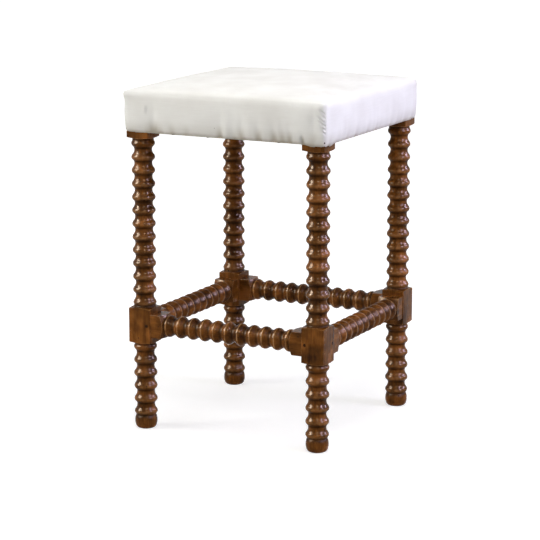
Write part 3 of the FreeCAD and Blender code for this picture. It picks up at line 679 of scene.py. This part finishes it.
# folds of the cover's sides, in millimetres; heights are over the cover's lower edge
foldSettings = {
    "flat": (0.3, 0.8),                  # how upright a face is where folds start, and where they are full
    "ripple": (17.0, 160.0, 2.0, 22.0),  # pulls over the tacks: width, length, depth, height where they fade
    "lump": (95.0, 70.0, 1.6, 30.0),     # uneven stuffing: width, length, depth, height where it is full
    "apart": (9.1, 5.7),                 # how far apart in the noise two faces lie, for pulls and for lumps
    "plain": 20.0,                       # both die away this near to a corner
    "drawn": (1.8, 22.0),                # the hem is drawn in: depth, height
    "belly": (2.4, 42.0, 45.0),          # the sides swell: depth, height of the middle, half height
    "seam": (0.8, 2.0, 3.0, 6.0),        # the corner seams: depth, width, start, height where they are full
    "puff": (26.0, 82.0, 12.0),          # corners stand out under the rim: width, height, half height
    "puffs": (6.4, 2.6),                 # by how much: front left, and the others
    "sag": (30.0, 12.0, 26.0),           # corners hang lower: width, fade, height where it ends
    "sags": (3.6, 0.4),                  # by how much: front right, and the others
    "rail": (226.0, 0.3, 40.0, 24.0),    # a rail holds the cloth out: place, from, up to, clear of corners
    "soilAndShade": (0.35, 0.6, 8.0),            # darkening, partly soil and partly painted shade: for each millimetre of fold, at the hem, and up to
}

# creases on the front: place along it, height over the floor, half width, half height, depth
creases = [
    (203.0, 676.0, 9.0, 28.0, -3.4),
    (179.0, 640.0, 2.8, 9.0, -1.9),
    (171.0, 641.0, 5.0, 14.0, 2.0),
    (151.0, 647.0, 6.5, 22.0, -2.2),
    (134.0, 652.0, 7.0, 26.0, -1.9),
    (116.0, 648.0, 7.0, 24.0, -2.1),
    (81.0, 650.0, 8.0, 30.0, -1.8),
    (60.0, 655.0, 7.0, 28.0, 1.3),
    (42.0, 652.0, 7.0, 26.0, -1.9),
    (12.0, 655.0, 10.0, 40.0, 1.7),
    (-4.0, 652.0, 6.0, 34.0, -1.2),
    (-62.0, 655.0, 10.0, 40.0, 1.0),
    (-78.0, 650.0, 8.0, 30.0, -0.5),
    (-118.0, 648.0, 8.0, 30.0, -0.5),
    (-158.0, 655.0, 11.0, 34.0, -3.2),
    (-173.8, 679.5, 2.4, 7.0, -1.4),
    (-178.0, 681.0, 2.4, 7.0, 2.0),
    (-200.0, 655.0, 16.0, 40.0, 1.6),
]

# gathers beside a corner seam: height over the floor, distance from the seam at their two ends, depth
gathers = [(692.0, 0.0, 10.0, 3.4), (683.5, 0.0, 7.0, 2.4), (675.0, 6.0, 15.0, 2.4),
           (669.0, 0.0, 11.0, 3.6), (661.0, 0.0, 7.0, 2.4), (653.5, 0.0, 6.0, 2.0)]
gatherSettings = {
    "zone": 34.0, "slope": 0.85, "end": 2.5,
    "groove": 1.5,
    "ridge": (0.4, 4.0, 2.2),  # under each groove: share of its depth, distance, width
    "backShift": (-4.3, 2.1),  # those of the back stand at other heights
}


def creaseDepth(along, height):
    return sum(deep * bell(along - place, wide) * bell(height - level, tall)
               for place, level, wide, tall, deep in creases)


def gatherDepth(spot, corner):  # short slanting gathers that run down into a seam
    use = gatherSettings
    share, under, ridge = use["ridge"]
    slant = spot.z - use["slope"] * corner
    if spot.y > 0:
        slant -= use["backShift"][0] + use["backShift"][1] * math.copysign(1, spot.x)
    push = 0.0
    for level, near, far, deep in gathers:
        reach = bell(max(0.0, near - corner, corner - far), use["end"])
        fold = share * bell(slant - level + under, ridge) - bell(slant - level, use["groove"])
        push += deep * reach * fold
    return push


def rippleDepth(along, face, height):  # pulls over the tacks, different on each face
    wide, long, deep, fade = foldSettings["ripple"]
    place = Vector((along / wide, face * foldSettings["apart"][0], height / long))
    return noise.noise(place) * deep * math.exp(-height / fade)


def lumpDepth(along, face, height):  # uneven stuffing, different on each face
    wide, long, deep, full = foldSettings["lump"]
    place = Vector((along / wide, face * foldSettings["apart"][1], height / long))
    return noise.noise(place) * deep * min(1.0, height / full)


def plainDepth(spot, corner, height):  # what all sides have: drawn hem, swelling, sewn and puffed corners
    use = foldSettings
    deep, upTo = use["drawn"]
    push = -deep * max(0.0, 1 - height / upTo) ** 2
    deep, middle, half = use["belly"]
    push += deep * max(0.0, 1 - ((height - middle) / half) ** 2)
    deep, wide, start, full = use["seam"]
    seam = abs(abs(spot.x) - abs(spot.y)) / math.sqrt(2)
    push -= deep * bell(seam, wide) * min(1.0, max(0.0, height - start) / full)
    wide, middle, half = use["puff"]
    puff = use["puffs"][0 if spot.x < 0 and spot.y < 0 else 1]
    return push + puff * bell(corner, wide) * bell(height - middle, half)


def dressCover(piece):  # folds the sides, and marks where soil and painted shade darken them
    use = foldSettings
    piece.data.update()
    normals = [vertex.normal.copy() for vertex in piece.data.vertices]
    soilAndShadeAmounts = [0.0] * len(normals)
    flat, steep = use["flat"]
    rail, railBottom, railTop, railClear = use["rail"]
    perFold, atHem, hemTop = use["soilAndShade"]
    sagWide, sagFade, sagTop = use["sag"]
    for index, (vertex, normal) in enumerate(zip(piece.data.vertices, normals)):
        out = Vector((normal.x, normal.y, 0))
        if out.length < flat:
            continue
        spot = vertex.co / mm
        height = spot.z - coverSettings["bottom"]
        corner = coverSettings["half"] - min(abs(spot.x), abs(spot.y))
        axis = 1 if abs(spot.y) > abs(spot.x) else 0  # 1 on the front and back, 0 on the left and right
        along = spot[1 - axis]
        face = 4 - 2 * axis - (spot[axis] > 0)  # back, front, right and left are 1 to 4
        front = face == 2
        away = min(1.0, corner / use["plain"])
        ripple = rippleDepth(along, face, height) * away
        crease = creaseDepth(along, spot.z) if front else 0.0
        push = ripple + crease + lumpDepth(along, face, height) * away + plainDepth(spot, corner, height)
        if axis == 1 and corner < gatherSettings["zone"] and not (front and spot.x < 0):
            push += gatherDepth(spot, corner)
        # darker in the fold dips and along the hem: partly soil, partly painted shade
        soilAndShadeAmounts[index] = max(0.0, -perFold * (crease + ripple)) + atHem * max(0.0, 1 - height / hemTop)
        upright = min(1.0, (out.length - flat) / (steep - flat))
        vertex.co += out.normalized() * push * upright * mm
        if railBottom < height < railTop and corner > railClear:
            vertex.co[axis] = math.copysign(max(abs(vertex.co[axis]), rail * mm), spot[axis])
        sag = use["sags"][0 if spot.x > 0 and spot.y < 0 else 1]
        vertex.co.z -= sag * bell(max(0.0, corner - sagWide), sagFade) * max(0.0, 1 - height / sagTop) * mm
    piece.data.attributes.new("shadeAndDirt", "FLOAT", "POINT").data.foreach_set("value", soilAndShadeAmounts)


cover = coverShape()
swellCover(cover)
openUnderside(cover)
finer = cover.modifiers.new("finer", "SUBSURF")
finer.levels = finer.render_levels = 1
bakeModifiers(cover)
refineCorners(cover)
dressCover(cover)
cover.data.shade_smooth()
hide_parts("calico_cover", "wadding", "seat_pad")
print("seat cover drawn on:", len(cover.data.polygons))


# jute webbing and hessian: coarse dull threads, seen only from below
juteSettings = {
    "webbing": ("#8d7655", "#5f4c33", 3.0 * mm),  # light, dark, threads drawn coarse so that they show
    "hessian": ("#8a6c43", "#4a3820", 3.6 * mm),
    "fibre": 5 * mm,
}


def jute(name):
    light, dark, thread = juteSettings[name]
    material, tree = newMaterial("jute " + name)
    spot = addNode(tree, "TexCoord").outputs["Object"]
    lengthways, crossways = [
        addNode(tree, "TexWave", {"Vector": spot, "Scale": waveLength / thread, "Distortion": 1.2,
                                  "Detail": 2.0}, bands_direction=axis) for axis in ("X", "Y")]
    weave = addNode(tree, "Math", {0: lengthways.outputs["Fac"], 1: crossways.outputs["Fac"]},
                    operation="MULTIPLY")
    fibre = addNode(tree, "TexNoise", {"Vector": spot, "Scale": 1 / juteSettings["fibre"], "Detail": 4.0})
    tone = addNode(tree, "Math", {0: fibre.outputs[0], 1: 0.6, 2: weave.outputs[0]},
                   operation="MULTIPLY_ADD")
    colour = addNode(tree, "ValToRGB", {"Fac": tone.outputs[0]}, stops=[(0.25, dark), (0.8, light)])
    bump = addNode(tree, "Bump", {"Height": tone.outputs[0], "Distance": 0.4 * mm, "Strength": 0.7})
    shader = addNode(tree, "BsdfPrincipled", {"Base Color": colour.outputs[0], "Roughness": 0.95,
                                              "Normal": bump.outputs[0], "Sheen Weight": 0.1})
    closeMaterial(tree, shader)
    return material


webbingJute = jute("webbing")
hessianJute = jute("hessian")
clothGrid = (12 * mm, 7 * mm)  # spacing of a strip's points, across and along


def clothStrip(name, node, material, size, lift, turn):
    # a flat strip of cloth over its node, raised by lift(across, along) and given its thickness
    wide, long, thick = size
    low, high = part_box(node)
    made = bmesh.new()
    bmesh.ops.create_grid(made, x_segments=round(wide / clothGrid[0]), y_segments=round(long / clothGrid[1]),
                          size=0.5)
    bmesh.ops.scale(made, verts=made.verts, vec=(wide, long, 1))
    for vert in made.verts:
        vert.co.z = lift(vert.co.x, vert.co.y)
    lay = Matrix.Translation(((low[0] + high[0]) / 2, (low[1] + high[1]) / 2, 0))
    bmesh.ops.transform(made, verts=made.verts, matrix=lay @ Matrix.Rotation(turn, 4, "Z"))
    bmesh.ops.recalc_face_normals(made, faces=made.faces)
    strip = meshPiece(name, made, material)
    wall = strip.modifiers.new("thickness", "SOLIDIFY")
    wall.thickness = thick
    wall.offset = 0.0
    bakeModifiers(strip)
    strip.data.shade_smooth()
    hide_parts(node)
    return strip


# straps: four each way, woven over and under, level where they lie on the rails
strapSettings = {"width": 50.0, "thick": 1.4, "gap": 0.05, "pitch": 80.0, "weave": 1.55, "square": 1.6,
                 "level": 172.0, "ramp": 24.0, "count": 4}


def makeStraps():
    use = strapSettings
    low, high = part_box("webbing_long_1")
    long = high[1] - low[1]
    bed = low[2] + use["thick"] / 2 * mm + use["gap"] * mm
    flatSize = (use["width"] * mm, long)
    size = (*flatSize, use["thick"] * mm)

    def overAndUnder(row):
        def lift(across, along):
            free = min(1.0, max(0.0, (use["level"] * mm - abs(along)) / (use["ramp"] * mm)))
            wave = math.sin(along / (use["pitch"] * mm) * math.pi + row * math.pi)
            return bed + use["weave"] * mm * free * max(-1.0, min(1.0, use["square"] * wave))
        return lift

    for row in range(1, use["count"] + 1):
        level = clothStrip("strapLong_%d" % row, "webbing_long_%d" % row, webbingJute, size,
                           lambda across, along: bed, 0.0)
        woven = clothStrip("strapCross_%d" % row, "webbing_cross_%d" % row, webbingJute, size,
                           overAndUnder(row), -math.pi / 2)


hessianSettings = {"thick": 0.7, "wave": 0.25, "waves": 30}


def makeHessian():
    use = hessianSettings
    low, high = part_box("hessian")
    wide = high[0] - low[0]
    bed = (low[2] + high[2]) / 2

    def lift(across, along):
        return bed + use["wave"] * mm * noise.noise(Vector((across, along, 0)) * use["waves"])

    size = (wide, wide, use["thick"] * mm)
    sheet = clothStrip("hessianSheet", "hessian", hessianJute, size, lift, 0.0)


makeStraps()
makeHessian()
print("webbing and hessian laid")


# raw beech: the pale unfinished wood of the seat frame, with short dark flecks along the grain
beechSettings = {
    "streak": (4 * mm, 90 * mm),
    "cloud": 70 * mm,
    "tones": [(0.36, "#7d5733"), (0.52, "#a97f53"), (0.66, "#c39b6c")],
}


def rawBeech(name, grain):
    use = beechSettings
    material, tree = newMaterial(name)
    spot = addNode(tree, "TexCoord").outputs["Object"]
    across, along = [1 / size for size in use["streak"]]
    scale = (along, across, across) if grain == "X" else (across, along, across)
    place = addNode(tree, "Mapping", {"Vector": spot, "Scale": scale})
    streak = addNode(tree, "TexNoise", {"Vector": place.outputs[0], "Scale": 1.0, "Detail": 5.0,
                                        "Distortion": 0.4})
    cloud = addNode(tree, "TexNoise", {"Vector": spot, "Scale": 1 / use["cloud"], "Detail": 3.0})
    tone = addNode(tree, "Math", {0: cloud.outputs[0], 1: 0.35}, operation="MULTIPLY")
    tone = addNode(tree, "Math", {0: streak.outputs[0], 1: 0.65, 2: tone.outputs[0]},
                   operation="MULTIPLY_ADD")
    colour = addNode(tree, "ValToRGB", {"Fac": tone.outputs[0]}, stops=use["tones"])
    bump = addNode(tree, "Bump", {"Height": streak.outputs[0], "Distance": 0.3 * mm, "Strength": 0.5})
    shader = addNode(tree, "BsdfPrincipled", {"Base Color": colour.outputs[0], "Roughness": 0.7,
                                              "Normal": bump.outputs[0], "IOR": 1.5})
    closeMaterial(tree, shader)
    return material


# blued steel: dark tack heads and screws, dull with a little rust
steelSettings = {"rust": 2.5 * mm, "tones": [(0.45, "#3a3d44"), (0.7, "#5a3d2c")]}


def bluedSteel():
    use = steelSettings
    material, tree = newMaterial("blued steel")
    spot = addNode(tree, "TexCoord").outputs["Object"]
    rust = addNode(tree, "TexNoise", {"Vector": spot, "Scale": 1 / use["rust"], "Detail": 4.0})
    colour = addNode(tree, "ValToRGB", {"Fac": rust.outputs[0]}, stops=use["tones"])
    rough = addNode(tree, "MapRange", {"Value": rust.outputs[0], "To Min": 0.3, "To Max": 0.65})
    shader = addNode(tree, "BsdfPrincipled", {
        "Base Color": colour.outputs[0], "Roughness": rough.outputs[0], "Metallic": 0.9})
    closeMaterial(tree, shader)
    return material


beechAcross = rawBeech("raw beech, grain side to side", "X")
beechDeep = rawBeech("raw beech, grain front to back", "Y")
steel = bluedSteel()


def dressNode(node, material):  # a solid that is right as it stands gets its real material
    data = bpy.data.objects[node].data
    data.materials.clear()
    data.materials.append(material)


for side, material in zip(sides, (beechAcross, beechDeep, beechAcross, beechDeep)):
    dressNode("seat_rail_" + side, material)
for corner in corners:
    dressNode("corner_brace_" + corner, beechAcross)
dressNode("rail_pegs", beechAcross)
for node in ("brace_screws", "webbing_tacks", "cover_tacks"):
    dressNode(node, steel)
print("seat frame dressed")


# corner seams: slanting stitches over each seam, and one small tack at its lower end
seamSettings = {
    "pitch": 4.6, "low": 646.0, "high": 712.0, "length": 3.0, "thick": 0.5, "lean": 58.0,
    "tack": 1.7, "tackAt": 637.6, "tackDome": 0.5, "outside": 0.3,
}


def onSeam(tree, side, deep, height):  # the cover's surface and outward direction on a seam, at a height
    outside = seamSettings["outside"]
    out = Vector((side, deep, 0)).normalized()
    spot = tree.ray_cast(Vector((side * outside, deep * outside, height * mm)), -out)[0]
    return spot, out


def makeSeams():
    use = seamSettings
    tree = BVHTree.FromPolygons([vertex.co for vertex in cover.data.vertices],
                                [list(face.vertices) for face in cover.data.polygons])
    stitchSize = Matrix.Diagonal((use["thick"] * mm, use["thick"] * mm, use["length"] * mm, 1))
    headSize = Matrix.Diagonal((1, 1, use["tackDome"], 1))
    stitches = bmesh.new()
    tacks = bmesh.new()
    for side, deep in ((-1, -1), (1, -1), (1, 1), (-1, 1)):
        height = use["low"]
        while height < use["high"]:
            spot, out = onSeam(tree, side, deep, height)
            lean = Matrix.Rotation(math.radians(use["lean"] * side * -deep), 4, out)
            upright = out.to_track_quat("X", "Z").to_matrix().to_4x4()
            lay = Matrix.Translation(spot + out * use["thick"] * 0.5 * mm) @ lean @ upright
            bmesh.ops.create_uvsphere(stitches, u_segments=8, v_segments=6, radius=0.5,
                                      matrix=lay @ stitchSize)
            height += use["pitch"]
        spot, out = onSeam(tree, side, deep, use["tackAt"])
        lay = Matrix.Translation(spot) @ out.to_track_quat("Z", "Y").to_matrix().to_4x4()
        bmesh.ops.create_uvsphere(tacks, u_segments=16, v_segments=10, radius=use["tack"] * mm,
                                  matrix=lay @ headSize)
    thread = meshPiece("cornerStitches", stitches, cotton)
    thread.data.shade_smooth()
    heads = meshPiece("seamTackHeads", tacks, steel)
    heads.data.shade_smooth()
    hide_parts("seam_tacks")


makeSeams()
print("corner seams sewn")


def lookedAt(tree):  # 1 for rays from the camera, off gloss and through glass, 0 for those that only light
    path = addNode(tree, "LightPath").outputs
    seen = addNode(tree, "Math", {0: path["Is Camera Ray"], 1: path["Is Glossy Ray"]}, operation="MAXIMUM")
    seen = addNode(tree, "Math", {0: seen.outputs[0], 1: path["Is Transmission Ray"]}, operation="MAXIMUM")
    return seen.outputs[0]


# white studio floor: paper, white to the camera and grey only where the stool keeps light off it
floorSettings = {"half": 30.0, "drop": 0.5 * mm, "paper": "#c4c4c2", "near": (0.4, 0.66), "far": (2.6, 1.0)}


def whiteFloor():
    use = floorSettings
    material, tree = newMaterial("white studio floor")
    spot = addNode(tree, "TexCoord").outputs["Object"]
    away = addNode(tree, "VectorMath", {0: spot}, operation="LENGTH")
    near, nearGlow = use["near"]
    far, farGlow = use["far"]
    strength = addNode(tree, "MapRange", {"Value": away.outputs["Value"], "From Min": near, "From Max": far,
                                          "To Min": nearGlow, "To Max": farGlow})
    paper = addNode(tree, "BsdfDiffuse", {"Color": hexColour(use["paper"])})
    glow = addNode(tree, "Emission", {"Color": hexColour("#ffffff"), "Strength": strength.outputs[0]})
    lit = addNode(tree, "AddShader", {0: paper.outputs[0], 1: glow.outputs[0]})
    shown = addNode(tree, "MixShader", {0: lookedAt(tree), 1: paper.outputs[0], 2: lit.outputs[0]})
    under = addNode(tree, "NewGeometry").outputs["Backfacing"]
    clear = addNode(tree, "BsdfTransparent")
    shown = addNode(tree, "MixShader", {0: under, 1: shown.outputs[0], 2: clear.outputs[0]})
    addNode(tree, "OutputMaterial", {"Surface": shown.outputs[0]})
    return material


made = bmesh.new()
bmesh.ops.create_grid(made, x_segments=1, y_segments=1, size=floorSettings["half"])
floor = meshPiece("floor", made)
floor.data.materials.append(whiteFloor())
floor.location.z = -floorSettings["drop"]


# studio: plain fill, and a white room wherever it is looked at
studioSettings = {"colour": "#f6f5f8", "fill": 0.16, "white": 1.0}


def studioWorld():
    use = studioSettings
    world = bpy.data.worlds.new("studio")
    world.use_nodes = True
    tree = world.node_tree
    tree.nodes.clear()
    strength = addNode(tree, "MapRange", {"Value": lookedAt(tree), "To Min": use["fill"],
                                          "To Max": use["white"]})
    room = addNode(tree, "Background", {"Color": hexColour(use["colour"]), "Strength": strength.outputs[0]})
    addNode(tree, "OutputWorld", {"Surface": room.outputs[0]})
    return world


scene.world = studioWorld()

# each lamp: degrees round from the camera (left is negative), height of its middle, distance, width,
# height, power, colour; the panes are the bright window glass that the wax mirrors, and light nothing else
lampSettings = {
    "leftLight": (-82, 1.1, 2.6, 0.9, 1.4, 33, "#fffcf8"),
    "rightLight": (72, 1.25, 2.8, 1.2, 1.4, 52, "#e8e3ff"),
    "doorway": (2, 2.25, 3.0, 0.22, 0.4, 18, "#fff8f0"),
    "skylight": (10, 3.1, 0.5, 2.2, 2.2, 51, "#fffefc"),
}
paneSettings = {
    "leftPane": (-80, 1.95, 2.6, 1.1, 1.7, 680, "#fff3e4"),
    "rightPaneNear": (50, 1.9, 2.8, 0.34, 1.6, 420, "#e4d8ff"),
    "rightPaneFar": (102, 1.9, 2.8, 0.5, 1.6, 300, "#e4d8ff"),
    "doorwayPane": (2, 2.35, 3.0, 0.3, 0.4, 125, "#fff0dc"),
}
lampAim = Vector((0, 0, 0.4))
cameraTurn = math.atan2(cameraSettings["place"].x, -cameraSettings["place"].y)


def hangLamp(name, turn, height, distance, wide, tall, power, colour):
    lamp = bpy.data.objects.new(name, bpy.data.lights.new(name, "AREA"))
    lamp.data.shape = "RECTANGLE"
    lamp.data.size = wide
    lamp.data.size_y = tall
    lamp.data.energy = power
    lamp.data.color = hexColour(colour)[:3]
    angle = cameraTurn + math.radians(turn)
    lamp.location = (math.sin(angle) * distance, -math.cos(angle) * distance, height)
    lamp.rotation_euler = (lampAim - lamp.location).to_track_quat("-Z", "Y").to_euler()
    scene.collection.objects.link(lamp)
    return lamp


for name, setting in lampSettings.items():
    hangLamp(name, *setting)
for name, setting in paneSettings.items():
    hangLamp(name, *setting).visible_diffuse = False
print("floor and lamps set")
